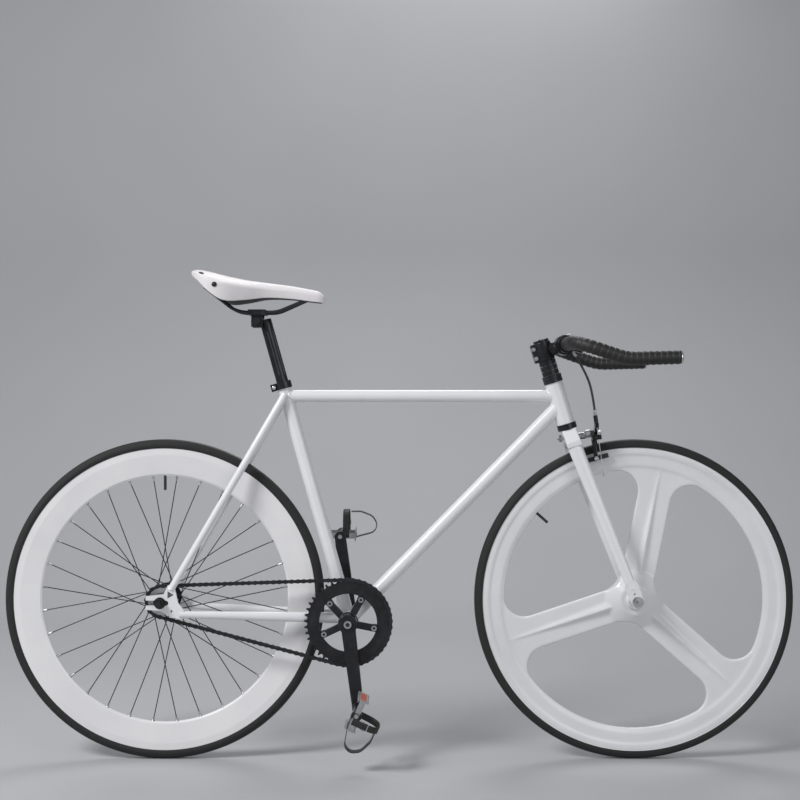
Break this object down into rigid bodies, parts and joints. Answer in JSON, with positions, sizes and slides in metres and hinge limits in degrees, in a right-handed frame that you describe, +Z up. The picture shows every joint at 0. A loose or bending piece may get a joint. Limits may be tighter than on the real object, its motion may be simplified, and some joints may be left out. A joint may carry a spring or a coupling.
{
  "type": "fixed gear bicycle",
  "caption": "White fixed gear bicycle with a deep spoked rear wheel, a cast front wheel, taped bullhorn bar, toe clip pedals, chain drive and a front rim brake",
  "frame": {"origin": "on the ground, midway between the two axles", "axes": "+X forward, +Y to the rider's left, +Z up"},
  "size_m": [1.6589, 0.428, 1.0269],
  "materials": {
    "white_paint": "glossy",
    "white_wheel": "satin white paint",
    "white_leather": "satin",
    "black_metal": "satin",
    "black_alloy": "anodised black",
    "steel": "plain",
    "dark_steel": "blackened",
    "chrome": "polished",
    "tyre": "matt",
    "rubber": "matt",
    "tape": "grained",
    "black_plastic": "moulded"
  },
  "bodies": {
    "frame": {"head_tube": "white_paint", "top_tube": "white_paint", "down_tube": "white_paint", "seat_tube": "white_paint", "bottom_bracket_shell": "white_paint", "chain_stays": "white_paint", "seat_stays": "white_paint", "rear_dropouts": "white_paint", "headset_cups": "black_alloy", "bottom_bracket_cups": "dark_steel", "seat_clamp": "black_alloy", "rear_axle": "dark_steel", "rear_axle_nuts": "dark_steel", "chain": "dark_steel"},
    "steering": {"fork_crown": "white_paint", "fork_blades": "white_paint", "headset_spacers": "black_alloy", "stem": "black_alloy", "stem_faceplate": "black_alloy", "stem_bolts": "steel", "handlebar": "black_alloy", "bar_tape": "tape", "bar_end_plugs": "chrome", "brake_lever_clamp": "black_alloy", "brake_cable_housing": "black_plastic", "caliper_bridge": "steel", "front_axle": "steel", "front_axle_nuts": "chrome"},
    "lever": {"brake_lever": "black_alloy"},
    "arm_left": {"caliper_arm_left": "black_alloy", "brake_pad_left": "rubber"},
    "arm_right": {"caliper_arm_right": "black_alloy", "brake_pad_right": "rubber"},
    "front_wheel": {"front_tyre": "tyre", "front_inner_tube": "rubber", "front_mag_wheel": "white_wheel", "front_hub_bearings": "steel"},
    "rear_wheel": {"rear_tyre": "tyre", "rear_inner_tube": "rubber", "rear_rim": "white_wheel", "rear_spokes": "dark_steel", "rear_nipples": "steel", "rear_hub_shell": "black_alloy", "rear_hub_bearings": "steel", "rear_cog": "steel"},
    "crankset": {"crank_right": "black_alloy", "chainring": "black_alloy", "crank_left": "black_alloy", "bb_spindle": "steel", "crank_fasteners": "dark_steel", "pedal_axles": "steel"},
    "pedal_right": {"pedal_body_right": "black_plastic", "toe_clip_right": "black_metal"},
    "pedal_left": {"pedal_body_left": "black_plastic", "toe_clip_left": "black_metal"},
    "seatpost": {"seatpost": "black_alloy"},
    "saddle": {"saddle_clamp": "dark_steel", "saddle_rails": "black_metal", "saddle_top": "white_leather", "saddle_rivets": "dark_steel"}
  },
  "joints": [
    {"name": "steering_turn", "type": "hinge", "parent": "frame", "child": "steering", "pos_m": [0.35141, 0, 0.70498], "axis": [-0.2924, 0, 0.9563], "range_deg": [-60, 60]},
    {"name": "front_wheel_spin", "type": "hinge", "parent": "steering", "child": "front_wheel", "pos_m": [0.4935, 0, 0.336], "axis": [0, 1, 0], "continuous": true},
    {"name": "rear_wheel_spin", "type": "hinge", "parent": "frame", "child": "rear_wheel", "pos_m": [-0.4935, 0, 0.336], "axis": [0, 1, 0], "continuous": true, "deforming": ["chain"]},
    {"name": "crank_turn", "type": "hinge", "parent": "frame", "child": "crankset", "pos_m": [-0.10641, 0, 0.292], "axis": [0, 1, 0], "continuous": true},
    {"name": "pedal_right_spin", "type": "hinge", "parent": "crankset", "child": "pedal_right", "pos_m": [-0.08569, -0.115, 0.12327], "axis": [0, 1, 0], "continuous": true},
    {"name": "pedal_left_spin", "type": "hinge", "parent": "crankset", "child": "pedal_left", "pos_m": [-0.12713, 0.115, 0.46073], "axis": [0, 1, 0], "continuous": true},
    {"name": "brake_lever_pull", "type": "hinge", "parent": "steering", "child": "lever", "pos_m": [0.37604, -0.041, 0.86194], "axis": [-0.2588, 0, -0.9659], "range_deg": [0, 12], "stiffness_Nm_per_rad": 2, "springref_deg": -5.73},
    {"name": "brake_arm_left_swing", "type": "hinge", "parent": "steering", "child": "arm_left", "pos_m": [0.3603, 0, 0.67591], "axis": [-0.9903, 0, -0.1392], "range_deg": [0, 0.9]},
    {"name": "brake_arm_right_swing", "type": "hinge", "parent": "steering", "child": "arm_right", "pos_m": [0.35974, -0.022, 0.67987], "axis": [0.9903, 0, 0.1392], "range_deg": [0, 0.9]},
    {"name": "seatpost_height", "type": "slide", "parent": "frame", "child": "seatpost", "axis": [-0.2689, 0, 0.9632], "range_m": [-0.1, 0.03]},
    {"name": "saddle_tilt", "type": "hinge", "parent": "seatpost", "child": "saddle", "pos_m": [-0.29823, 0, 0.91953], "axis": [0, 1, 0], "range_deg": [-15, 15]}
  ],
  "couplings": [
    {"joint": "crank_turn", "follows": "rear_wheel_spin", "ratio": 0.36364},
    {"joint": "brake_arm_left_swing", "follows": "brake_lever_pull", "ratio": 0.075},
    {"joint": "brake_arm_right_swing", "follows": "brake_lever_pull", "ratio": 0.075}
  ]
}
